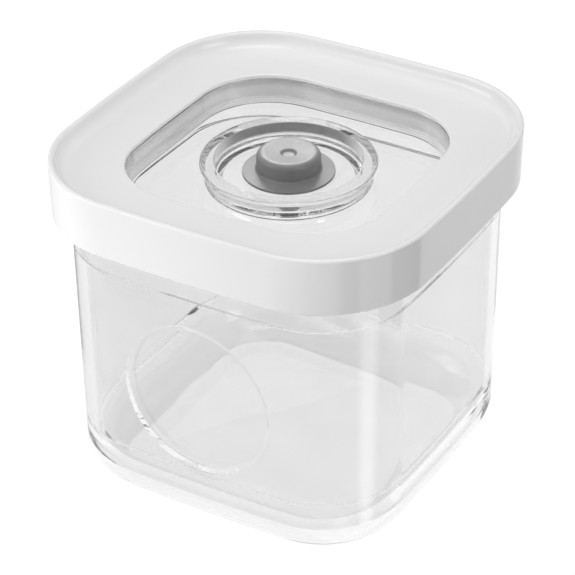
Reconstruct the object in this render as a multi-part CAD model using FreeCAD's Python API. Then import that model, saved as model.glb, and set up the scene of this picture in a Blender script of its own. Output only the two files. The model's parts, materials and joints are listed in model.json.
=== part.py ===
import FreeCAD, Part
import math
import os

# A square vacuum box: a clear container under a lid made of a white frame, a clear tray, a seal and a valve.
# The origin is the middle of the base, +Z is up and the dimple is on the front, at -Y.

# Shared
overall_height = 97.2
fit_clearance = 0.1  # left between pieces that seat on each other
wiping_clearance = 0.3  # left between the seal's lips and the wall that they wipe
edge_round = 0.4  # small moulded edges
overrun = 2.0  # how far a cut runs past the face that it opens

# Plan of the lid, which the container follows
lid_width = 108.8
lid_corner_radius = 30.7
lid_side_radius = 700.0  # the sides are slightly bowed

# Lid frame
skirt_height = 16.0
skirt_wall = 2.0
skirt_draft = 0.3
crest_width = 1.8
crest_round_share = 0.45
border_drop = 4.2  # from the crest of the rim down to the border
border_thickness = 2.0
border_width = 17.4
cove_share = 0.75  # of the drop, for the hollow between rim and border
channel_fillet = 1.0
opening_corner_radius = 20.5
opening_side_radius = 640.0
lip_thickness = 1.0  # the border's edge over the tray's wall
frame_wall = 1.8

# Container
skirt_gap = 3.1  # between the skirt and the container
container_draft = 0.8
upper_wall = 1.9
lower_wall = 3.0
ledge_drop = 18.9  # from the rim down to the ledge inside
ledge_round = 0.5
rim_round = 0.6
base_thickness = 4.0
bottom_radius = 11.0
inner_bottom_radius = 11.5
plinth_wall = 4.4  # the wall is thicker below a second ledge near the floor
plinth_rise = 1.4  # from the inner rounding up to that ledge
floor_margin = 1.0  # flat floor carried round with the walls
dimple_radius = 22.6
dimple_depth = 1.0
dimple_level = 42.0

# Lid tray
tray_depth = 8.1
tray_wall = 1.6
tray_draft = 0.5
tray_fillet = 1.0
panel_thickness = 2.2
panel_gap = 2.4  # between the panel's edge and the container
collar_height = 5.5
collar_top_radius = 24.1
collar_foot_radius = 21.7
collar_round = 0.8
well_radius = 19.7
well_depth = 4.1
well_fillet = 1.0

# Lid seal
gasket_web = 1.1
gasket_leg = 3.0
gasket_leg_thickness = 1.1
lip_root = 0.8
lip_rise = 1.4
lip_tip_round = 0.12

# Valve
valve_travel = 2.0
button_radius = 8.6
button_height = 4.9
button_round = 1.5
button_fillet = 0.6
dish_share = 0.76  # of the button's radius, for its dished top
dish_depth = 0.5
button_dimple_radius = 2.2
button_dimple_depth = 0.6
flange_radius = 12.4
flange_edge = 0.7
flange_rise = 0.6  # the flange's top climbs towards the button
seal_width = 1.4
pocket_depth = 0.4
stem_radius = 2.2
stem_clearance = 0.3
barb_radius = 3.2
barb_tip_radius = 1.5
barb_height = 2.4
vent_radius = 0.8
vent_circle_radius = 6.0
vent_count = 4

# Levels and insets that follow from the sizes above
skirt_foot = overall_height - skirt_height
border_top = overall_height - border_drop
border_under = border_top - border_thickness
lip_under = border_top - lip_thickness
rim_top = border_under - fit_clearance
ledge_level = rim_top - ledge_drop
plinth_level = base_thickness + inner_bottom_radius + plinth_rise
panel_top = border_top - tray_depth
panel_under = panel_top - panel_thickness
collar_top = panel_top + collar_height
well_floor = collar_top - well_depth
well_under = well_floor - panel_thickness
container_inset = skirt_wall + skirt_gap
opening_width = lid_width - 2 * border_width

origin = FreeCAD.Vector(0, 0, 0)
up = FreeCAD.Vector(0, 0, 1)
quarter_turn = 90
full_turn = 360


def turned(vector, angle):
    return FreeCAD.Rotation(up, angle).multVec(vector)


class BowedSquare:
    # A square plan of eight arcs that run into each other: four round corners and four slightly bowed sides

    def __init__(self, width, corner_radius, side_radius):
        self.width = width
        self.corner_radius = corner_radius
        self.side_radius = side_radius
        self.side_offset = side_radius - width / 2
        reach = side_radius - corner_radius
        self.corner_offset = (math.sqrt(2 * reach ** 2 - self.side_offset ** 2) - self.side_offset) / 2
        self.tilt = math.degrees(math.atan2(self.corner_offset, self.corner_offset + self.side_offset))

    def inset(self, depth):
        return BowedSquare(self.width - 2 * depth, self.corner_radius - depth, self.side_radius - depth)

    def arcs(self):
        corner = FreeCAD.Vector(self.corner_offset, self.corner_offset, 0)
        side = FreeCAD.Vector(0, -self.side_offset, 0)
        corner_sweep = quarter_turn - 2 * self.tilt
        found = []
        for quarter in range(4):
            start = quarter * quarter_turn + self.tilt
            found.append((turned(corner, quarter * quarter_turn), self.corner_radius, start, corner_sweep))
            start += corner_sweep
            found.append((turned(side, quarter * quarter_turn), self.side_radius, start, 2 * self.tilt))
        return found

    def plate(self, bottom, top):
        edges = []
        for centre, radius, start, sweep in self.arcs():
            edges.append(Part.makeCircle(radius, centre, up, start, start + sweep))
        plan = Part.Face(Part.Wire(edges))
        plan.translate(up * bottom)
        return plan.extrude(up * (top - bottom))

    def carry(self, profile):
        # Takes a profile round the plan and sews the skin shut; the profile's X is measured outwards from the plan
        faces = []
        for centre, radius, start, sweep in self.arcs():
            stretch = profile.OuterWire.copy()
            stretch.translate(FreeCAD.Vector(radius, 0, 0))
            stretch.rotate(origin, up, start)
            stretch.translate(centre)
            faces += stretch.revolve(centre, up, sweep).Faces
        skin = Part.makeCompound(faces)
        skin.sewShape()
        return Part.makeSolid(skin).removeSplitter()


def section(corners):
    # A closed face in the XZ plane; each corner is (x, z, radius of its rounding)
    points = [FreeCAD.Vector(x, 0, z) for x, z, radius in corners]
    radii = [radius for x, z, radius in corners]
    stretches = []
    for index, point in enumerate(points):
        before = (points[index - 1] - point).normalize()
        after = (points[(index + 1) % len(points)] - point).normalize()
        half_angle = before.getAngle(after) / 2
        run = radii[index] / math.tan(half_angle)
        middle = (before + after).normalize() * (radii[index] / math.sin(half_angle) - radii[index])
        stretches.append((point + before * run, point + middle, point + after * run))
    edges = []
    for index, (start, middle, end) in enumerate(stretches):
        if radii[index] > 0:
            edges.append(Part.Arc(start, middle, end).toShape())
        edges.append(Part.makeLine(end, stretches[(index + 1) % len(stretches)][0]))
    return Part.Face(Part.Wire(edges))


def turned_solid(corners):
    return section(corners).revolve(origin, up, full_turn)


lid_plan = BowedSquare(lid_width, lid_corner_radius, lid_side_radius)
container_plan = lid_plan.inset(container_inset)
bore_plan = container_plan.inset(upper_wall)
opening_plan = BowedSquare(opening_width, opening_corner_radius, opening_side_radius)


def make_container():
    plinth_draft = container_draft * (rim_top - plinth_level) / rim_top
    outer_edge = container_draft + bottom_radius
    inner_edge = container_draft + plinth_wall + inner_bottom_radius
    join = max(outer_edge, inner_edge) + floor_margin
    walls = container_plan.carry(section([
        (-join, 0, 0),
        (-container_draft, 0, bottom_radius),
        (0, rim_top, rim_round),
        (-upper_wall, rim_top, rim_round),
        (-upper_wall, ledge_level, ledge_round),
        (-lower_wall, ledge_level, ledge_round),
        (-lower_wall - plinth_draft, plinth_level, edge_round),
        (-plinth_wall - plinth_draft, plinth_level, edge_round),
        (-plinth_wall - container_draft, base_thickness, inner_bottom_radius),
        (-join, base_thickness, 0),
    ]))
    floor = container_plan.inset(join).plate(0, base_thickness)
    return walls.fuse(floor).removeSplitter().cut(dimple_cutter())


def dimple_cutter():
    # A ball outside the front wall, square to its draft; on the bowed wall the dimple is a little taller than wide
    ball_radius = (dimple_radius ** 2 + dimple_depth ** 2) / (2 * dimple_depth)
    wall_inset = container_draft * (rim_top - dimple_level) / rim_top
    middle = FreeCAD.Vector(0, wall_inset - container_plan.width / 2, dimple_level)
    outwards = FreeCAD.Vector(0, -rim_top, -container_draft).normalize()
    return Part.makeSphere(ball_radius, middle + outwards * (ball_radius - dimple_depth))


def make_lid_frame():
    crest_round = crest_width * crest_round_share
    cove_radius = border_drop * cove_share
    border_start = crest_width + border_drop
    rim = lid_plan.carry(section([
        (-skirt_draft, skirt_foot, edge_round),
        (0, overall_height, crest_round),
        (-crest_width, overall_height, crest_round),
        (-crest_width, border_top, cove_radius),
        (-border_start, border_top, 0),
        (-border_start, border_under, 0),
        (-skirt_wall, border_under, channel_fillet),
        (-skirt_wall - skirt_draft, skirt_foot, edge_round),
    ]))
    wall_inner = tray_wall + fit_clearance
    wall_outer = wall_inner + frame_wall
    border_end = wall_outer + border_thickness
    inner_wall = opening_plan.carry(section([
        (0, border_top, edge_round),
        (0, lip_under, 0),
        (wall_inner, lip_under, 0),
        (wall_inner, panel_top, 0),
        (wall_outer, panel_top, edge_round),
        (wall_outer, border_under, channel_fillet),
        (border_end, border_under, 0),
        (border_end, border_top, 0),
    ]))
    border = lid_plan.inset(border_start).plate(border_under, border_top)
    border = border.cut(opening_plan.inset(-border_end).plate(border_under - overrun, border_top + overrun))
    return rim.multiFuse([border, inner_wall]).removeSplitter()


def make_lid_panel():
    wall_top = lip_under - fit_clearance
    wall_foot = tray_draft + tray_fillet + edge_round
    wall = opening_plan.carry(section([
        (0, wall_top, edge_round),
        (-tray_draft, panel_top, tray_fillet),
        (-wall_foot, panel_top, 0),
        (-wall_foot, panel_under, 0),
        (tray_wall, panel_under, 0),
        (tray_wall, wall_top, edge_round),
    ]))
    middle_radius = collar_foot_radius + 2 * collar_round
    step_radius = well_radius - panel_thickness
    middle = turned_solid([
        (stem_radius + stem_clearance, well_floor, 0),
        (well_radius, well_floor, well_fillet),
        (well_radius, collar_top, edge_round),
        (collar_top_radius, collar_top, collar_round),
        (collar_foot_radius, panel_top, collar_round),
        (middle_radius, panel_top, 0),
        (middle_radius, panel_under, 0),
        (well_radius, panel_under, collar_round),
        (step_radius, well_under, collar_round),
        (stem_radius + stem_clearance, well_under, 0),
    ])
    plate = bore_plan.inset(panel_gap).plate(panel_under, panel_top)
    hole = Part.makeCylinder(middle_radius, panel_thickness + 2 * overrun, up * (panel_under - overrun))
    panel = plate.cut(hole).multiFuse([wall, middle]).removeSplitter()
    vents = []
    for index in range(vent_count):
        place = turned(FreeCAD.Vector(vent_circle_radius, 0, well_under - overrun), index * full_turn / vent_count)
        vents.append(Part.makeCylinder(vent_radius, panel_thickness + 2 * overrun, place))
    return panel.cut(vents)


def make_lid_gasket():
    web_inner = panel_gap - fit_clearance
    web_outer = web_inner - gasket_web
    leg_end = panel_gap + gasket_leg
    upper_seat = panel_top + fit_clearance
    upper_face = upper_seat + gasket_leg_thickness
    lower_seat = panel_under - fit_clearance
    lower_face = lower_seat - gasket_leg_thickness
    upper_lip = upper_face - lip_root
    return bore_plan.carry(section([
        (-leg_end, upper_seat, 0),
        (-leg_end, upper_face, edge_round),
        (-web_outer, upper_face, 0),
        (-wiping_clearance, upper_lip + lip_rise, lip_tip_round),
        (-web_outer, upper_lip, 0),
        (-web_outer, lower_face + lip_root, 0),
        (-wiping_clearance, lower_face + lip_rise, lip_tip_round),
        (-web_outer, lower_face, 0),
        (-leg_end, lower_face, edge_round),
        (-leg_end, lower_seat, 0),
        (-web_inner, lower_seat, 0),
        (-web_inner, upper_seat, 0),
    ]))


def make_valve():
    seat = well_floor + fit_clearance
    flange_top = seat + flange_edge + flange_rise
    button_top = flange_top + button_height
    dish_floor = button_top - dish_depth
    pocket_radius = flange_radius - seal_width
    barb_top = well_under - valve_travel - fit_clearance
    barb_foot = barb_top - barb_height
    return turned_solid([
        (0, dish_floor - button_dimple_depth, 0),
        (button_dimple_radius - button_dimple_depth, dish_floor - button_dimple_depth, button_dimple_depth),
        (button_dimple_radius, dish_floor, edge_round),
        (button_radius * dish_share, button_top, edge_round),
        (button_radius, button_top, button_round),
        (button_radius, flange_top, button_fillet),
        (flange_radius, seat + flange_edge, lip_tip_round),
        (flange_radius, seat, lip_tip_round),
        (pocket_radius, seat, 0),
        (pocket_radius - pocket_depth, seat + pocket_depth, 0),
        (stem_radius, seat + pocket_depth, 0),
        (stem_radius, barb_top, 0),
        (barb_radius, barb_top, lip_tip_round),
        (barb_tip_radius, barb_foot, edge_round),
        (0, barb_foot, 0),
    ])


pieces = {
    "container": make_container(),
    "lid_frame": make_lid_frame(),
    "lid_panel": make_lid_panel(),
    "lid_gasket": make_lid_gasket(),
    "valve": make_valve(),
}

os.makedirs("parts", exist_ok=True)
for name, shape in pieces.items():
    shape.exportStep(f"parts/{name}.step")
    print(f"{name}: solids {len(shape.Solids)}, valid {shape.isValid()}, volume {shape.Volume:.0f} mm3")
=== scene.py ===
import json
import math

import bmesh
import bpy
from mathutils import Matrix, Vector

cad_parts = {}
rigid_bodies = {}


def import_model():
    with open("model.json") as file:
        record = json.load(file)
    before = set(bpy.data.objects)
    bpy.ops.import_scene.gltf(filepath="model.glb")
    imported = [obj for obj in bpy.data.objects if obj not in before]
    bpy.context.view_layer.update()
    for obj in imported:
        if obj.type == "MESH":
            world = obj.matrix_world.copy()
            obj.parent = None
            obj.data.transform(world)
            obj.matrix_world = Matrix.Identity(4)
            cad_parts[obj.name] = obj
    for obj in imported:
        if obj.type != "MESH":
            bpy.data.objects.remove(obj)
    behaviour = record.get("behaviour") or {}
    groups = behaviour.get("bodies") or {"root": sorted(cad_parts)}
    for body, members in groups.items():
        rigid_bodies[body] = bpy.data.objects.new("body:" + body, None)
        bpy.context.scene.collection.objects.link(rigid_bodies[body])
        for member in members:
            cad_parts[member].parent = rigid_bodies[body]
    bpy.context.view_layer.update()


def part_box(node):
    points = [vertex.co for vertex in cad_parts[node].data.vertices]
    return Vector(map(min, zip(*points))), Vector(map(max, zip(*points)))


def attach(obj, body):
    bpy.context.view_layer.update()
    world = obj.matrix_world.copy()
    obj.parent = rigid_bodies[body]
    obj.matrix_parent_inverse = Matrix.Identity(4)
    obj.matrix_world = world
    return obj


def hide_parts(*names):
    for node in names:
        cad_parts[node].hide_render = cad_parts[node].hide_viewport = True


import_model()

mm = 0.001  # settings are in millimetres, the scene is in metres
scene = bpy.context.scene

# Plans that the pieces follow: squares with round corners and slightly bowed sides
lidPlan = {"width": 108.8 * mm, "cornerRadius": 30.7 * mm, "sideRadius": 700.0 * mm}
openingPlan = {"width": 74.0 * mm, "cornerRadius": 20.5 * mm, "sideRadius": 640.0 * mm}

# How finely things are spun and rounded
stepSet = {
    "corner": 32,  # steps round one corner of a plan
    "side": 12,  # steps along one bowed side
    "bevelStep": 0.35 * mm,  # radius per segment of a rounding
    "fewestSegments": 4,
    "mostSegments": 24,
    "merge": 0.01 * mm,
    "lift": 5.0 * mm,  # keeps two rims apart while they are bridged
    "sharpAngle": math.radians(35),
}
turnSteps = 4 * (stepSet["corner"] + stepSet["side"])  # a full turn matches a trip round a plan

# Levels of the pieces, from the frame
lidSet = {"borderDrop": 4.2 * mm, "borderThickness": 2.0 * mm, "panelThickness": 2.2 * mm}
frameLow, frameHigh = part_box("lid_frame")
panelLow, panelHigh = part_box("lid_panel")
containerLow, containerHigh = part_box("container")
valveLow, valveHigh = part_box("valve")
levelSet = {
    "crest": frameHigh.z,
    "skirtFoot": frameLow.z,
    "borderTop": frameHigh.z - lidSet["borderDrop"],
    "borderUnder": frameHigh.z - lidSet["borderDrop"] - lidSet["borderThickness"],
    "wallTop": panelHigh.z,
    "panelTop": panelLow.z + lidSet["panelThickness"],
    "panelUnder": panelLow.z,
    "rimTop": containerHigh.z,
    "base": containerLow.z,
    "buttonTop": valveHigh.z,
    "barbFoot": valveLow.z,
}


def planArcs(plan, inset=0.0):
    # eight arcs: centre, radius, start angle, sweep and steps, from the first corner on
    half = plan["width"] / 2 - inset
    cornerRadius = plan["cornerRadius"] - inset
    sideRadius = plan["sideRadius"] - inset
    sideOffset = sideRadius - half
    reach = sideRadius - cornerRadius
    cornerOffset = (math.sqrt(2 * reach ** 2 - sideOffset ** 2) - sideOffset) / 2
    tilt = math.atan2(cornerOffset, cornerOffset + sideOffset)
    cornerSweep = math.pi / 2 - 2 * tilt
    arcs = []
    for quarter in range(4):
        turn = Matrix.Rotation(quarter * math.pi / 2, 3, "Z")
        start = quarter * math.pi / 2 + tilt
        cornerCentre = turn @ Vector((cornerOffset, cornerOffset, 0))
        sideCentre = turn @ Vector((0, -sideOffset, 0))
        arcs.append((cornerCentre, cornerRadius, start, cornerSweep, stepSet["corner"]))
        arcs.append((sideCentre, sideRadius, start + cornerSweep, 2 * tilt, stepSet["side"]))
    return arcs


def wireProfile(corners, closed=False):
    # corners are (x, z, rounding) in the XZ plane
    bm = bmesh.new()
    verts = [bm.verts.new((x, 0, z)) for x, z, rounding in corners]
    for first, second in zip(verts, verts[1:]):
        bm.edges.new((first, second))
    if closed:
        bm.edges.new((verts[-1], verts[0]))
    for vert, (x, z, rounding) in zip(verts, corners):
        if rounding > 0:
            ways = [(edge.other_vert(vert).co - vert.co).normalized() for edge in vert.link_edges]
            run = rounding / math.tan(ways[0].angle(ways[1]) / 2)
            segments = round(rounding / stepSet["bevelStep"])
            segments = max(stepSet["fewestSegments"], min(stepSet["mostSegments"], segments))
            bmesh.ops.bevel(bm, geom=[vert], offset=run, offset_type="OFFSET", segments=segments,
                            profile=0.5, affect="VERTICES", material=-1, clamp_overlap=False)
    return bm


def carryRound(bm, plan, inset=0.0):
    # spins the profile round each arc of the plan in turn; its X runs outwards from the plan
    arcs = planArcs(plan, inset)
    centre, radius, start = arcs[0][:3]
    place = Matrix.Translation(centre) @ Matrix.Rotation(start, 4, "Z") @ Matrix.Translation((radius, 0, 0))
    bmesh.ops.transform(bm, matrix=place, verts=bm.verts)
    running = bm.verts[:] + bm.edges[:]
    for centre, radius, start, sweep, steps in arcs:
        spun = bmesh.ops.spin(bm, geom=running, cent=centre, axis=(0, 0, 1), angle=sweep, steps=steps,
                              use_merge=False, use_normal_flip=False, use_duplicate=False)
        running = spun["geom_last"]
    bmesh.ops.remove_doubles(bm, verts=bm.verts, dist=stepSet["merge"])
    return bm


def turnRound(bm):
    bmesh.ops.spin(bm, geom=bm.verts[:] + bm.edges[:], cent=(0, 0, 0), axis=(0, 0, 1), angle=2 * math.pi,
                   steps=turnSteps, use_merge=True, use_normal_flip=False, use_duplicate=False)
    bmesh.ops.remove_doubles(bm, verts=bm.verts, dist=stepSet["merge"])
    return bm


def joinInto(bm, part):
    mesh = bpy.data.meshes.new("joined")
    part.to_mesh(mesh)
    part.free()
    bm.from_mesh(mesh)
    bpy.data.meshes.remove(mesh)


def openRims(bm, level):
    # open edge loops at a level, the narrowest first
    loose = [edge for edge in bm.edges if edge.is_boundary
             and all(abs(vert.co.z - level) < stepSet["merge"] for vert in edge.verts)]
    seen = set()
    rims = []
    for first in loose:
        if first in seen:
            continue
        rim = [first]
        seen.add(first)
        for edge in rim:
            for vert in edge.verts:
                for other in vert.link_edges:
                    if other not in seen and other in loose:
                        seen.add(other)
                        rim.append(other)
        rims.append(rim)
    return sorted(rims, key=lambda rim: min(vert.co.xy.length for edge in rim for vert in edge.verts))


def bridgeFlat(bm, inner, outer):
    # the inner rim is lifted while the two are bridged, so that they are paired the same way round
    verts = list({vert for edge in inner for vert in edge.verts})
    lift = Vector((0, 0, stepSet["lift"]))
    bmesh.ops.translate(bm, vec=lift, verts=verts)
    bmesh.ops.bridge_loops(bm, edges=inner + outer)
    bmesh.ops.translate(bm, vec=-lift, verts=verts)


def cutAway(bm, cutter):
    # takes the cutter's shape out of a closed mesh
    holders = []
    for name, shape in (("cutBody", bm), ("cutTool", cutter)):
        bmesh.ops.remove_doubles(shape, verts=shape.verts, dist=stepSet["merge"])
        bmesh.ops.recalc_face_normals(shape, faces=shape.faces)
        mesh = bpy.data.meshes.new(name)
        shape.to_mesh(mesh)
        shape.free()
        holders.append(bpy.data.objects.new(name, mesh))
        scene.collection.objects.link(holders[-1])
    body, tool = holders
    cut = body.modifiers.new("cut", "BOOLEAN")
    cut.operation = "DIFFERENCE"
    cut.solver = "EXACT"
    cut.object = tool
    result = bmesh.new()
    result.from_object(body, bpy.context.evaluated_depsgraph_get())
    for holder in holders:
        mesh = holder.data
        bpy.data.objects.remove(holder)
        bpy.data.meshes.remove(mesh)
    return result


def placeMesh(name, bm, material):
    mesh = bpy.data.meshes.new(name)
    bm.to_mesh(mesh)
    bm.free()
    mesh.materials.append(material)
    placed = bpy.data.objects.new(name, mesh)
    scene.collection.objects.link(placed)
    return placed


def finishPiece(name, bm, material, body, crisp=()):
    # edges that turn sharply, or are named as crisp, stay sharp in the shading
    bmesh.ops.recalc_face_normals(bm, faces=bm.faces)
    for face in bm.faces:
        face.smooth = True
    for edge in bm.edges:
        edge.smooth = edge.calc_face_angle(0) < stepSet["sharpAngle"]
    for edge in crisp:
        edge.smooth = False
    piece = placeMesh(name, bm, material)
    weighted = piece.modifiers.new("evenNormals", "WEIGHTED_NORMAL")
    weighted.keep_sharp = True
    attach(piece, body)
    print(f"{name}: {len(piece.data.vertices)} vertices, {len(piece.data.polygons)} faces")
    return piece


# Noise that the materials share: the levels it mostly lies between, and how fine it is
noiseSet = {"span": (0.3, 0.7), "cloudDetail": 2, "grainDetail": 3, "clearDetail": 1}


def startMaterial(name):
    material = bpy.data.materials.new(name)
    material.use_nodes = True
    return material, material.node_tree, material.node_tree.nodes["Principled BSDF"]


def addNoise(tree, scale, detail):
    place = tree.nodes.new("ShaderNodeTexCoord")
    noise = tree.nodes.new("ShaderNodeTexNoise")
    noise.inputs["Scale"].default_value = scale
    noise.inputs["Detail"].default_value = detail
    tree.links.new(place.outputs["Object"], noise.inputs["Vector"])
    return noise.outputs["Fac"]


def addRange(tree, source, low, high):
    spread = tree.nodes.new("ShaderNodeMapRange")
    spread.inputs["From Min"].default_value, spread.inputs["From Max"].default_value = noiseSet["span"]
    spread.inputs["To Min"].default_value = low
    spread.inputs["To Max"].default_value = high
    tree.links.new(source, spread.inputs["Value"])
    return spread.outputs["Result"]


def addTint(tree, source, low, high):
    ramp = tree.nodes.new("ShaderNodeValToRGB")
    for element, level, color in zip(ramp.color_ramp.elements, noiseSet["span"], (low, high)):
        element.position = level
        element.color = (*color, 1)
    tree.links.new(source, ramp.inputs["Fac"])
    return ramp.outputs["Color"]


def addBump(tree, source, depth, shader):
    bump = tree.nodes.new("ShaderNodeBump")
    bump.inputs["Strength"].default_value = 1.0
    bump.inputs["Distance"].default_value = depth
    tree.links.new(source, bump.inputs["Height"])
    tree.links.new(bump.outputs["Normal"], shader.inputs["Normal"])


def addMath(tree, operation, first, second):
    node = tree.nodes.new("ShaderNodeMath")
    node.operation = operation
    for socket, value in zip(node.inputs, (first, second)):
        if isinstance(value, float):
            socket.default_value = value
        else:
            tree.links.new(value, socket)
    return node.outputs["Value"]


def addStep(tree, source, low, high):
    # 0 below, 1 above, or the other way round where low is the larger
    step = tree.nodes.new("ShaderNodeMapRange")
    step.interpolation_type = "SMOOTHSTEP"
    step.inputs["From Min"].default_value = min(low, high)
    step.inputs["From Max"].default_value = max(low, high)
    step.inputs["To Min"].default_value = 0.0 if low < high else 1.0
    step.inputs["To Max"].default_value = 1.0 if low < high else 0.0
    tree.links.new(source, step.inputs["Value"])
    return step.outputs["Result"]


def addProduct(tree, sources):
    total = sources[0]
    for source in sources[1:]:
        total = addMath(tree, "MULTIPLY", total, source)
    return total


def addParts(tree):
    # X, Y and Z of the place on the piece
    place = tree.nodes.new("ShaderNodeTexCoord")
    parts = tree.nodes.new("ShaderNodeSeparateXYZ")
    tree.links.new(place.outputs["Object"], parts.inputs["Vector"])
    return parts.outputs


def addFlat(tree, at):
    # the way there from the middle, seen from above, and how long it is
    flat = tree.nodes.new("ShaderNodeCombineXYZ")
    tree.links.new(at["X"], flat.inputs["X"])
    tree.links.new(at["Y"], flat.inputs["Y"])
    length = tree.nodes.new("ShaderNodeVectorMath")
    length.operation = "LENGTH"
    tree.links.new(flat.outputs["Vector"], length.inputs[0])
    return flat.outputs["Vector"], length.outputs["Value"]


def darken(tree, shader, amount):
    # takes a share of the base colour away
    color = shader.inputs["Base Color"]
    shade = tree.nodes.new("ShaderNodeMix")
    shade.data_type = "RGBA"
    shade.blend_type = "MULTIPLY"
    tree.links.new(amount, shade.inputs["Factor"])
    tree.links.new(color.links[0].from_socket, shade.inputs["A"])
    shade.inputs["B"].default_value = (0, 0, 0, 1)
    tree.links.new(shade.outputs["Result"], color)


def solidPlastic(name, look):
    material, tree, shader = startMaterial(name)
    cloud = addNoise(tree, look["cloudScale"], noiseSet["cloudDetail"])
    grain = addNoise(tree, look["grainScale"], noiseSet["grainDetail"])
    tree.links.new(addTint(tree, cloud, look["shade"], look["tint"]), shader.inputs["Base Color"])
    tree.links.new(addRange(tree, grain, *look["roughness"]), shader.inputs["Roughness"])
    addBump(tree, grain, look["grainDepth"], shader)
    shader.inputs["IOR"].default_value = look["ior"]
    return material


def clearPlastic(name, look):
    material, tree, shader = startMaterial(name)
    cloud = addNoise(tree, look["cloudScale"], noiseSet["clearDetail"])
    tree.links.new(addTint(tree, cloud, look["shade"], look["tint"]), shader.inputs["Base Color"])
    tree.links.new(addRange(tree, cloud, *look["roughness"]), shader.inputs["Roughness"])
    addBump(tree, cloud, look["waveDepth"], shader)
    shader.inputs["Transmission Weight"].default_value = 1.0
    shader.inputs["IOR"].default_value = look["ior"]
    return material, tree, shader


containerSet = {
    "planInset": 5.1 * mm,
    "draft": 0.8 * mm,
    "upperWall": 1.9 * mm,
    "lowerWall": 3.0 * mm,
    "ledgeDrop": 18.9 * mm,  # from the rim down to the ledge inside
    "ledgeRound": 0.5 * mm,
    "rimRound": 0.6 * mm,
    "baseThickness": 4.0 * mm,
    "bottomRadius": 11.0 * mm,
    "innerBottomRadius": 11.5 * mm,
    "plinthWall": 4.4 * mm,  # thicker below the second ledge
    "plinthLevel": 16.9 * mm,
    "plinthRound": 0.4 * mm,
    "floorMargin": 1.0 * mm,
    "dimpleLevel": 42.0 * mm,
    "dimpleRadius": 22.6 * mm,
    "dimpleDepth": 1.5 * mm,
    "dimpleFloor": 8.0 * mm,
    "dimpleHollow": 110.0 * mm,  # rounding of the floor
    "dimpleRim": (1.7 * mm, 1.0 * mm),  # width and depth of the sloped edge
    "dimpleRound": 1.8 * mm,
    "dimpleFlare": (5.0 * mm, 0.4 * mm),  # out and off the wall
    "dimpleReach": 5.0 * mm,  # how far the cutter stands out of the wall
    "crispAngle": math.radians(12),  # steeper edges of the dimple stay crisp
    "crispMargin": 5.0 * mm,  # how far beyond the dimple they are looked for
    "look": {
        "shade": (0.82, 0.82, 0.82),
        "tint": (0.85, 0.85, 0.85),
        "roughness": (0.01, 0.025),
        "ior": 1.52,
        "cloudScale": 45.0,
        "waveDepth": 0.01 * mm,
        "footHeight": (14.0 * mm, 9.0 * mm),  # the painted shade of the foot sets in between these
        "footSlope": 0.95,
        "footLine": (34.2 * mm, 35.4 * mm),  # only the outside lies beyond this slanting line
        "footPaintedShade": 0.11,
    },
}


def makeDimpleCutter(part, rimTop):
    # turned like a shallow dish with a brim, then stood up against the front wall
    flareOut, flareOff = part["dimpleFlare"]
    edge = part["dimpleRadius"] + flareOut
    rimWidth, rimDepth = part["dimpleRim"]
    bm = turnRound(wireProfile([
        (0, part["dimpleDepth"], 0),
        (part["dimpleFloor"], part["dimpleDepth"], part["dimpleHollow"]),
        (part["dimpleRadius"] - rimWidth, rimDepth, part["dimpleRound"]),
        (part["dimpleRadius"], 0, part["dimpleRound"]),
        (edge, -flareOff, 0),
        (edge, -part["dimpleReach"], 0),
        (0, -part["dimpleReach"], 0),
    ]))
    lean = math.atan2(part["draft"], rimTop)
    wallInset = part["draft"] * (1 - part["dimpleLevel"] / rimTop)
    wallFace = lidPlan["width"] / 2 - part["planInset"] - wallInset
    stand = Matrix.Rotation(lean - math.pi / 2, 4, "X")
    place = Matrix.Translation((0, -wallFace, part["dimpleLevel"])) @ stand
    bmesh.ops.transform(bm, matrix=place, verts=bm.verts)
    return bm


def containerPlastic(name, look):
    # clear plastic, with painted shade that greys it round the foot
    material, tree, shader = clearPlastic(name, look)
    at = addParts(tree)
    along = addMath(tree, "ABSOLUTE", at["X"], 0.0)
    across = addMath(tree, "ABSOLUTE", at["Y"], 0.0)
    out = addMath(tree, "MAXIMUM", along, across)
    slant = addMath(tree, "MULTIPLY", out, look["footSlope"])
    beyond = addMath(tree, "SUBTRACT", slant, at["Z"])
    # painted shade: the outside of the foot is darkened towards the floor
    dim = addProduct(tree, [
        addStep(tree, at["Z"], *look["footHeight"]),
        addStep(tree, beyond, *look["footLine"]),
        look["footPaintedShade"],
    ])
    darken(tree, shader, dim)
    return material


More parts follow.
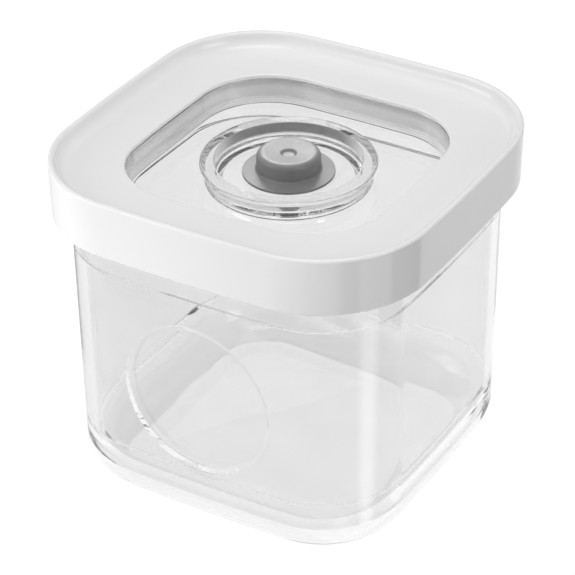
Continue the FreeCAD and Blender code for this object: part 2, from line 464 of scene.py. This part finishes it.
def makeContainer(part):
    base, rimTop = levelSet["base"], levelSet["rimTop"]
    ledge = rimTop - part["ledgeDrop"]
    plinth = part["plinthLevel"]
    plinthDraft = part["draft"] * (1 - plinth / rimTop)
    floorEdge = part["draft"] + part["plinthWall"] + part["innerBottomRadius"] + part["floorMargin"]
    bm = carryRound(wireProfile([
        (-floorEdge, base, 0),
        (-part["draft"], base, part["bottomRadius"]),
        (0, rimTop, part["rimRound"]),
        (-part["upperWall"], rimTop, part["rimRound"]),
        (-part["upperWall"], ledge, part["ledgeRound"]),
        (-part["lowerWall"], ledge, part["ledgeRound"]),
        (-part["lowerWall"] - plinthDraft, plinth, part["plinthRound"]),
        (-part["plinthWall"] - plinthDraft, plinth, part["plinthRound"]),
        (-part["plinthWall"] - part["draft"], part["baseThickness"], part["innerBottomRadius"]),
        (-floorEdge, part["baseThickness"], 0),
    ]), lidPlan, part["planInset"])
    for level in (base, part["baseThickness"]):
        bmesh.ops.edgeloop_fill(bm, edges=openRims(bm, level)[0])
    bm = cutAway(bm, makeDimpleCutter(part, rimTop))
    middle = Vector((0, -lidPlan["width"] / 2 + part["planInset"], part["dimpleLevel"]))
    crisp = []
    for edge in bm.edges:
        away = max((vert.co - middle).length for vert in edge.verts)
        near = away < part["dimpleRadius"] + part["crispMargin"]
        if near and edge.calc_face_angle(0) > part["crispAngle"]:
            crisp.append(edge)
    material = containerPlastic("clearContainerPlastic", part["look"])
    piece = finishPiece("containerBody", bm, material, "container", crisp)
    piece.visible_shadow = False  # clear, so lamps shine through it
    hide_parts("container")


frameSet = {
    "skirtWall": 2.0 * mm,
    "skirtDraft": 0.3 * mm,
    "footRound": 0.4 * mm,
    "crestWidth": 1.8 * mm,
    "crestRound": 0.81 * mm,
    "coveRadius": 3.15 * mm,
    "channelFillet": 1.0 * mm,
    "borderReach": 2.0 * mm,  # how far the opening's ring runs into the border
    "lipThickness": 1.0 * mm,
    "lipRound": 0.4 * mm,
    "wallInner": 1.7 * mm,
    "wallOuter": 3.5 * mm,
    "look": {
        "shade": (0.84, 0.84, 0.84),
        "tint": (0.87, 0.87, 0.87),
        "roughness": (0.08, 0.12),
        "ior": 1.49,
        "cloudScale": 25.0,
        "grainScale": 900.0,
        "grainDepth": 0.003 * mm,
    },
}


def makeLidFrame(part):
    crest, foot = levelSet["crest"], levelSet["skirtFoot"]
    borderTop, borderUnder = levelSet["borderTop"], levelSet["borderUnder"]
    borderStart = part["crestWidth"] + crest - borderTop
    borderEnd = part["wallOuter"] + part["borderReach"]
    bm = carryRound(wireProfile([
        (-borderStart, borderTop, 0),
        (-part["crestWidth"], borderTop, part["coveRadius"]),
        (-part["crestWidth"], crest, part["crestRound"]),
        (0, crest, part["crestRound"]),
        (-part["skirtDraft"], foot, part["footRound"]),
        (-part["skirtWall"] - part["skirtDraft"], foot, part["footRound"]),
        (-part["skirtWall"], borderUnder, part["channelFillet"]),
        (-borderStart, borderUnder, 0),
    ]), lidPlan)
    joinInto(bm, carryRound(wireProfile([
        (borderEnd, borderTop, 0),
        (0, borderTop, part["lipRound"]),
        (0, borderTop - part["lipThickness"], 0),
        (part["wallInner"], borderTop - part["lipThickness"], 0),
        (part["wallInner"], levelSet["panelTop"], 0),
        (part["wallOuter"], levelSet["panelTop"], part["footRound"]),
        (part["wallOuter"], borderUnder, part["channelFillet"]),
        (borderEnd, borderUnder, 0),
    ]), openingPlan))
    for level in (borderTop, borderUnder):
        inner, outer = openRims(bm, level)
        bridgeFlat(bm, inner, outer)
    material = solidPlastic("whiteGlossPlastic", part["look"])
    piece = finishPiece("lidFrameShell", bm, material, "lid")
    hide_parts("lid_frame")


panelSet = {
    "edgeInset": 9.4 * mm,  # from the lid's plan to the panel's edge
    "edgeRound": 0.3 * mm,
    "edgeReach": 2.0 * mm,
    "wall": 1.6 * mm,
    "wallDraft": 0.5 * mm,
    "wallRound": 0.4 * mm,
    "wallFillet": 1.0 * mm,
    "collarHeight": 5.5 * mm,
    "collarTopRadius": 24.1 * mm,
    "collarFootRadius": 21.7 * mm,
    "collarRound": 0.8 * mm,
    "wellRadius": 19.7 * mm,
    "wellDepth": 4.1 * mm,
    "wellFillet": 1.0 * mm,
    "wellRound": 0.4 * mm,
    "stemHole": 2.5 * mm,
    "ventRadius": 0.8 * mm,
    "ventCircle": 6.0 * mm,
    "ventCount": 4,
    "ventSteps": 24,
    "look": {
        "shade": (0.965, 0.965, 0.965),
        "tint": (0.99, 0.99, 0.99),
        "roughness": (0.012, 0.03),
        "ior": 1.5,
        "cloudScale": 60.0,
        "waveDepth": 0.008 * mm,
        "wallReach": (29.0 * mm, 31.0 * mm),  # the wall lies beyond this distance from the middle
        "footStart": (0.02 * mm, 0.15 * mm),  # above the panel
        "footEnd": (1.5 * mm, 0.9 * mm),
        "footMilk": 0.7,
        # painted shade: the wall above its foot is darkened a little
        "wallPaintedShade": 0.05,
        "lipShadowBand": (-2.6 * mm, -1.8 * mm),  # below the top of the wall, where the painted shadow of the lip lies
        "lipPaintedShadow": 0.2,
        # painted dark reflection on the back of the well's inner wall, in the bands below
        "reflectionReach": (0.5 * mm, 0.2 * mm),  # beyond the radius of the well
        "reflectionRise": (0.6 * mm, 1.6 * mm),  # above the floor of the well
        "reflectionWay": (-0.51, 0.86, 0),
        "reflectionSpread": (0.0, 15.0 * mm),
        "wellPaintedReflection": 0.94,
    },
}


def trayPlastic(name, part, wellFloor):
    # clear plastic with a milky foot of the wall, painted shade on the wall, a painted shadow of the lip
    # along its top, and a painted dark reflection on the back of the well
    look = part["look"]
    material, tree, shader = clearPlastic(name, look)
    at = addParts(tree)
    flat, reach = addFlat(tree, at)
    toBack = tree.nodes.new("ShaderNodeVectorMath")
    toBack.operation = "DOT_PRODUCT"
    toBack.inputs[1].default_value = look["reflectionWay"]
    tree.links.new(flat, toBack.inputs[0])

    def band(source, level, steps):
        return addStep(tree, source, *(level + step for step in steps))

    top = levelSet["panelTop"]
    atWall = band(reach, 0, look["wallReach"])
    milk = addProduct(tree, [
        atWall,
        band(at["Z"], top, look["footStart"]),
        band(at["Z"], top, look["footEnd"]),
        look["footMilk"],
    ])
    tree.links.new(addMath(tree, "SUBTRACT", 1.0, milk), shader.inputs["Transmission Weight"])
    aboveFoot = band(at["Z"], top, reversed(look["footEnd"]))
    # painted shade on the wall above its foot
    wall = addProduct(tree, [atWall, aboveFoot, look["wallPaintedShade"]])
    # painted shadow of the lip along the top of the wall
    lipShadow = addProduct(tree, [band(at["Z"], levelSet["wallTop"], look["lipShadowBand"]), look["lipPaintedShadow"]])
    # painted dark reflection on the back of the well's inner wall, strongest towards the back
    paintedReflection = addProduct(tree, [
        band(reach, part["wellRadius"], look["reflectionReach"]),
        band(at["Z"], wellFloor, look["reflectionRise"]),
        band(toBack.outputs["Value"], 0, look["reflectionSpread"]),
        look["wellPaintedReflection"],
    ])
    # the painted shade, painted shadow and painted reflection take colour away together
    dim = addMath(tree, "MAXIMUM", wall, lipShadow)
    darken(tree, shader, addMath(tree, "MAXIMUM", dim, paintedReflection))
    return material


def makeLidPanel(part):
    top, under = levelSet["panelTop"], levelSet["panelUnder"]
    thickness = top - under
    wallTop = levelSet["wallTop"]
    wallFoot = part["wallDraft"] + part["wallFillet"] + part["wallRound"]
    bm = carryRound(wireProfile([
        (-part["edgeReach"], top, 0),
        (0, top, part["edgeRound"]),
        (0, under, part["edgeRound"]),
        (-part["edgeReach"], under, 0),
    ]), lidPlan, part["edgeInset"])
    joinInto(bm, carryRound(wireProfile([
        (part["wall"], top, 0),
        (part["wall"], wallTop, part["wallRound"]),
        (0, wallTop, part["wallRound"]),
        (-part["wallDraft"], top, part["wallFillet"]),
        (-wallFoot, top, 0),
    ]), openingPlan))
    collarTop = top + part["collarHeight"]
    wellFloor = collarTop - part["wellDepth"]
    wellUnder = wellFloor - thickness
    middle = part["collarFootRadius"] + 2 * part["collarRound"]
    joinInto(bm, turnRound(wireProfile([
        (middle, top, 0),
        (part["collarFootRadius"], top, part["collarRound"]),
        (part["collarTopRadius"], collarTop, part["collarRound"]),
        (part["wellRadius"], collarTop, part["wellRound"]),
        (part["wellRadius"], wellFloor, part["wellFillet"]),
        (part["stemHole"], wellFloor, 0),
        (part["stemHole"], wellUnder, 0),
        (part["wellRadius"] - thickness, wellUnder, part["collarRound"]),
        (part["wellRadius"], under, part["collarRound"]),
        (middle, under, 0),
    ])))
    collarRim, wallInner, wallOuter, edgeRim = openRims(bm, top)
    bridgeFlat(bm, collarRim, wallInner)
    bridgeFlat(bm, wallOuter, edgeRim)
    collarRim, edgeRim = openRims(bm, under)
    bridgeFlat(bm, collarRim, edgeRim)
    vents = bmesh.new()
    for index in range(part["ventCount"]):
        turn = Matrix.Rotation(index * 2 * math.pi / part["ventCount"], 4, "Z")
        place = turn @ Matrix.Translation((part["ventCircle"], 0, (wellFloor + wellUnder) / 2))
        bmesh.ops.create_cone(vents, cap_ends=True, segments=part["ventSteps"], radius1=part["ventRadius"],
                              radius2=part["ventRadius"], depth=2 * thickness, matrix=place)
    bm = cutAway(bm, vents)
    material = trayPlastic("clearTrayPlastic", part, wellFloor)
    piece = finishPiece("lidTray", bm, material, "lid")
    piece.visible_shadow = False  # clear, so lamps shine through it
    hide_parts("lid_panel")


gasketSet = {
    "planInset": 7.0 * mm,  # from the lid's plan to the container's bore
    "legEnd": 5.4 * mm,
    "legThickness": 1.1 * mm,
    "webInner": 2.3 * mm,
    "webOuter": 1.2 * mm,
    "seat": 0.1 * mm,
    "lipRoot": 0.8 * mm,
    "lipRise": 1.4 * mm,
    "lipReach": 0.3 * mm,
    "lipRound": 0.12 * mm,
    "legRound": 0.4 * mm,
    "look": {
        "shade": (0.67, 0.67, 0.67),
        "tint": (0.75, 0.75, 0.75),
        "roughness": (0.42, 0.55),
        "ior": 1.41,
        "cloudScale": 80.0,
        "grainScale": 1500.0,
        "grainDepth": 0.006 * mm,
    },
}


def makeGasket(part):
    upperSeat = levelSet["panelTop"] + part["seat"]
    upperFace = upperSeat + part["legThickness"]
    lowerSeat = levelSet["panelUnder"] - part["seat"]
    lowerFace = lowerSeat - part["legThickness"]
    upperLip = upperFace - part["lipRoot"]
    bm = carryRound(wireProfile([
        (-part["legEnd"], upperSeat, 0),
        (-part["legEnd"], upperFace, part["legRound"]),
        (-part["webOuter"], upperFace, 0),
        (-part["lipReach"], upperLip + part["lipRise"], part["lipRound"]),
        (-part["webOuter"], upperLip, 0),
        (-part["webOuter"], lowerFace + part["lipRoot"], 0),
        (-part["lipReach"], lowerFace + part["lipRise"], part["lipRound"]),
        (-part["webOuter"], lowerFace, 0),
        (-part["legEnd"], lowerFace, part["legRound"]),
        (-part["legEnd"], lowerSeat, 0),
        (-part["webInner"], lowerSeat, 0),
        (-part["webInner"], upperSeat, 0),
    ], closed=True), lidPlan, part["planInset"])
    material = solidPlastic("paleSealSilicone", part["look"])
    piece = finishPiece("lidSeal", bm, material, "lid")
    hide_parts("lid_gasket")


valveSet = {
    "buttonRadius": 8.6 * mm,
    "buttonHeight": 4.9 * mm,
    "buttonRound": 1.5 * mm,
    "buttonFillet": 0.6 * mm,
    "dishRadius": 6.536 * mm,
    "dishDepth": 0.5 * mm,
    "dimpleRadius": 2.2 * mm,
    "dimpleDepth": 0.6 * mm,
    "flangeRadius": 12.4 * mm,
    "flangeEdge": 0.7 * mm,
    "flangeRise": 0.6 * mm,
    "sealWidth": 1.4 * mm,
    "pocketDepth": 0.4 * mm,
    "stemRadius": 2.2 * mm,
    "barbRadius": 3.2 * mm,
    "barbTipRadius": 1.5 * mm,
    "barbHeight": 2.4 * mm,
    "edgeRound": 0.4 * mm,
    "tipRound": 0.12 * mm,
    "look": {
        "shade": (0.18, 0.18, 0.18),
        "tint": (0.215, 0.215, 0.215),
        "roughness": (0.36, 0.5),
        "ior": 1.43,
        "cloudScale": 120.0,
        "grainScale": 1800.0,
        "grainDepth": 0.008 * mm,
    },
}


def makeValve(part):
    buttonTop, barbFoot = levelSet["buttonTop"], levelSet["barbFoot"]
    dishFloor = buttonTop - part["dishDepth"]
    flangeTop = buttonTop - part["buttonHeight"]
    seat = flangeTop - part["flangeRise"] - part["flangeEdge"]
    pocketRadius = part["flangeRadius"] - part["sealWidth"]
    barbTop = barbFoot + part["barbHeight"]
    bm = turnRound(wireProfile([
        (0, dishFloor - part["dimpleDepth"], 0),
        (part["dimpleRadius"] - part["dimpleDepth"], dishFloor - part["dimpleDepth"], part["dimpleDepth"]),
        (part["dimpleRadius"], dishFloor, part["edgeRound"]),
        (part["dishRadius"], buttonTop, part["edgeRound"]),
        (part["buttonRadius"], buttonTop, part["buttonRound"]),
        (part["buttonRadius"], flangeTop, part["buttonFillet"]),
        (part["flangeRadius"], seat + part["flangeEdge"], part["tipRound"]),
        (part["flangeRadius"], seat, part["tipRound"]),
        (pocketRadius, seat, 0),
        (pocketRadius - part["pocketDepth"], seat + part["pocketDepth"], 0),
        (part["stemRadius"], seat + part["pocketDepth"], 0),
        (part["stemRadius"], barbTop, 0),
        (part["barbRadius"], barbTop, part["tipRound"]),
        (part["barbTipRadius"], barbFoot, part["edgeRound"]),
        (0, barbFoot, 0),
    ]))
    material = solidPlastic("greyValveSilicone", part["look"])
    piece = finishPiece("ventValve", bm, material, "valve")
    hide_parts("valve")


makeContainer(containerSet)
makeLidFrame(frameSet)
makeLidPanel(panelSet)
makeGasket(gasketSet)
makeValve(valveSet)
print("pieces made")


studioSet = {
    "floorSize": 6.0,
    "floorColor": (0.2, 0.2, 0.2),
    "floorRoughness": 0.9,
    "floorGlow": 0.87,  # lifts the floor to white where it is looked at
    "skyTop": 0.68,
    "skyHorizon": 0.26,
    "skyBand": (0.1, 0.75),  # heights between which the sky brightens
    "lamps": {
        # name: place, size, watts
        "keyLamp": ((-0.92, -0.86, 0.36), 1.0, 7.0),
        "topLamp": ((0.0, 0.0, 1.25), 0.7, 3.2),
        "rightLamp": ((1.15, -0.2, 0.35), 0.6, 3.4),
        "valveLamp": ((-0.42, 0.66, 0.66), 0.45, 6.5),
    },
    "lit": {"valveLamp": "ventValve"},  # a lamp for one piece alone
    "aim": (0, 0, 50.0 * mm),
}

# Cards on the floor, out of the camera's sight: two are seen in reflections, one throws light
# On the right there is a bright fan for the front corner, and dark fans for the skirt
rightCardSet = {
    "mirrored": True,
    "turn": 0,
    "apex": (42.0 * mm, -37.0 * mm, 0.3 * mm),
    "near": 14.0 * mm,
    "far": 180.0 * mm,
    "halfWidth": 142.0 * mm,
    "border": (108.0 * mm, 115.0 * mm),  # the bright fan ends and the dark ones start
    "brightFan": ((-24, -6), (17, -1)),  # degrees between which it rises and falls
    "darkFans": [((8, 11), (51, 45)), ((-54, -40), (-25, -27))],
    "brightGlow": 3.0,
}

# On the left there is a grey that keeps the left edges apart from the white behind them
leftCardSet = {
    "mirrored": True,
    "turn": 0,
    "apex": (0, 0, 0.3 * mm),
    "near": -54.0 * mm,
    "far": -215.0 * mm,
    "halfWidth": 130.0 * mm,
    "fade": (-90.0 * mm, -10.0 * mm),
    "dim": 0.3,
}

# In front on the left, light comes up from the table
tableCardSet = {
    "mirrored": False,
    "turn": math.radians(225),
    "apex": (0, 0, 0.3 * mm),
    "near": 80.0 * mm,
    "far": 750.0 * mm,
    "halfWidth": 450.0 * mm,
    "glow": 1.55,
}


def lookedAt(tree):
    # 1 for rays that look at the background: straight, in gloss or through clear plastic
    path = tree.nodes.new("ShaderNodeLightPath")
    seen = path.outputs["Is Camera Ray"]
    for output in ("Is Glossy Ray", "Is Transmission Ray"):
        seen = addMath(tree, "MAXIMUM", seen, path.outputs[output])
    return seen


def makeFloor(studio):
    bm = bmesh.new()
    bmesh.ops.create_grid(bm, x_segments=1, y_segments=1, size=studio["floorSize"] / 2)
    material, tree, shader = startMaterial("paleFloor")
    shader.inputs["Base Color"].default_value = (*studio["floorColor"], 1)
    shader.inputs["Roughness"].default_value = studio["floorRoughness"]
    shader.inputs["Specular IOR Level"].default_value = 0.0
    shader.inputs["Emission Color"].default_value = (1, 1, 1, 1)
    glow = addMath(tree, "MULTIPLY", lookedAt(tree), studio["floorGlow"])
    tree.links.new(glow, shader.inputs["Emission Strength"])
    floor = placeMesh("studioFloor", bm, material)


def startCard(name, card):
    near, far, halfWidth = card["near"], card["far"], card["halfWidth"]
    bm = bmesh.new()
    bmesh.ops.create_grid(bm, x_segments=1, y_segments=1, size=1.0)
    spread = Matrix.Diagonal(((far - near) / 2, halfWidth, 1, 1))
    bmesh.ops.transform(bm, matrix=Matrix.Translation(((near + far) / 2, 0, 0)) @ spread, verts=bm.verts)
    material, tree, shader = startMaterial(name + "Glow")
    shader.inputs["Base Color"].default_value = (0, 0, 0, 1)
    shader.inputs["Specular IOR Level"].default_value = 0.0
    shader.inputs["Emission Color"].default_value = (1, 1, 1, 1)
    holder = placeMesh(name, bm, material)
    holder.location = card["apex"]
    holder.rotation_euler = (0, 0, card["turn"])
    holder.visible_camera = False
    holder.visible_transmission = False
    holder.visible_shadow = False
    holder.visible_glossy = card["mirrored"]
    holder.visible_diffuse = not card["mirrored"]
    return tree, shader


def makeRightCard(card):
    tree, shader = startCard("rightCard", card)
    at = addParts(tree)
    reach = addFlat(tree, at)[1]
    angle = addMath(tree, "ARCTAN2", at["Y"], at["X"])

    def fan(edges):
        sides = [addStep(tree, angle, *map(math.radians, edge)) for edge in edges]
        return addProduct(tree, sides)

    outer = addStep(tree, reach, *card["border"])
    inner = addMath(tree, "SUBTRACT", 1.0, outer)
    bright = addProduct(tree, [fan(card["brightFan"]), inner, card["brightGlow"] - 1])
    dark = addMath(tree, "ADD", *[fan(edges) for edges in card["darkFans"]])
    dark = addMath(tree, "MULTIPLY", dark, outer)
    glow = addMath(tree, "SUBTRACT", addMath(tree, "ADD", 1.0, bright), dark)
    tree.links.new(glow, shader.inputs["Emission Strength"])


def makeLeftCard(card):
    tree, shader = startCard("leftCard", card)
    fade = addStep(tree, addParts(tree)["Y"], *card["fade"])
    fade = addMath(tree, "MULTIPLY", fade, card["dim"])
    tree.links.new(addMath(tree, "SUBTRACT", 1.0, fade), shader.inputs["Emission Strength"])


def makeTableCard(card):
    # only the upper side is there, so that the floor below it stays as it is
    tree, shader = startCard("tableCard", card)
    shader.inputs["Emission Strength"].default_value = card["glow"]
    side = tree.nodes.new("ShaderNodeNewGeometry")
    front = addMath(tree, "SUBTRACT", 1.0, side.outputs["Backfacing"])
    tree.links.new(front, shader.inputs["Alpha"])


def makeSky(studio):
    # a studio with a pale ceiling and dim walls
    world = bpy.data.worlds.new("studioSky")
    world.use_nodes = True
    tree = world.node_tree
    sky = tree.nodes["Background"]
    sky.inputs["Color"].default_value = (1, 1, 1, 1)
    way = tree.nodes.new("ShaderNodeTexCoord")
    parts = tree.nodes.new("ShaderNodeSeparateXYZ")
    tree.links.new(way.outputs["Generated"], parts.inputs["Vector"])
    level = tree.nodes.new("ShaderNodeMapRange")
    level.interpolation_type = "SMOOTHSTEP"
    level.inputs["From Min"].default_value, level.inputs["From Max"].default_value = studio["skyBand"]
    level.inputs["To Min"].default_value = studio["skyHorizon"]
    level.inputs["To Max"].default_value = studio["skyTop"]
    tree.links.new(parts.outputs["Z"], level.inputs["Value"])
    path = tree.nodes.new("ShaderNodeLightPath")
    seen = addMath(tree, "MAXIMUM", path.outputs["Is Camera Ray"], level.outputs["Result"])
    tree.links.new(seen, sky.inputs["Strength"])
    scene.world = world


def makeLamps(studio):
    for name, (place, size, watts) in studio["lamps"].items():
        lamp = bpy.data.lights.new(name, "AREA")
        lamp.shape = "DISK"
        lamp.size = size
        lamp.energy = watts
        holder = bpy.data.objects.new(name, lamp)
        holder.location = place
        way = Vector(studio["aim"]) - Vector(place)
        holder.rotation_euler = way.to_track_quat("-Z", "Y").to_euler()
        scene.collection.objects.link(holder)
        if name in studio["lit"]:
            alone = bpy.data.collections.new(name + "Only")
            alone.objects.link(bpy.data.objects[studio["lit"][name]])
            holder.light_linking.receiver_collection = alone


makeFloor(studioSet)
makeRightCard(rightCardSet)
makeLeftCard(leftCardSet)
makeTableCard(tableCardSet)
makeSky(studioSet)
makeLamps(studioSet)
print("studio made")


cameraSet = {
    "azimuth": math.radians(30.71),
    "elevation": math.radians(32.91),
    "distance": 660.4 * mm,
    "target": Vector((0, 0, 45.0 * mm)),
    "aimRight": -0.74 * mm,  # the target sits a little right of and below the middle of the picture
    "aimUp": 4.17 * mm,
    "roll": math.radians(-0.72),
    "lens": 150.8,
    "sensor": 36.0,
}


def makeCamera(view):
    azimuth, elevation = view["azimuth"], view["elevation"]
    back = Vector((math.sin(azimuth) * math.cos(elevation),
                   -math.cos(azimuth) * math.cos(elevation),
                   math.sin(elevation)))
    right = Vector((math.cos(azimuth), math.sin(azimuth), 0))
    place = view["target"] + back * view["distance"]
    aim = view["target"] + right * view["aimRight"] + back.cross(right) * view["aimUp"]
    lens = bpy.data.cameras.new("photoCamera")
    lens.lens = view["lens"]
    lens.sensor_width = view["sensor"]
    camera = bpy.data.objects.new("photoCamera", lens)
    turn = (aim - place).to_track_quat("-Z", "Y").to_matrix() @ Matrix.Rotation(view["roll"], 3, "Z")
    camera.location = place
    camera.rotation_euler = turn.to_euler()
    scene.collection.objects.link(camera)
    scene.camera = camera


makeCamera(cameraSet)
scene.view_settings.view_transform = "Standard"
scene.cycles.max_bounces = 32
scene.cycles.transmission_bounces = 24
scene.cycles.glossy_bounces = 16
print("camera set")
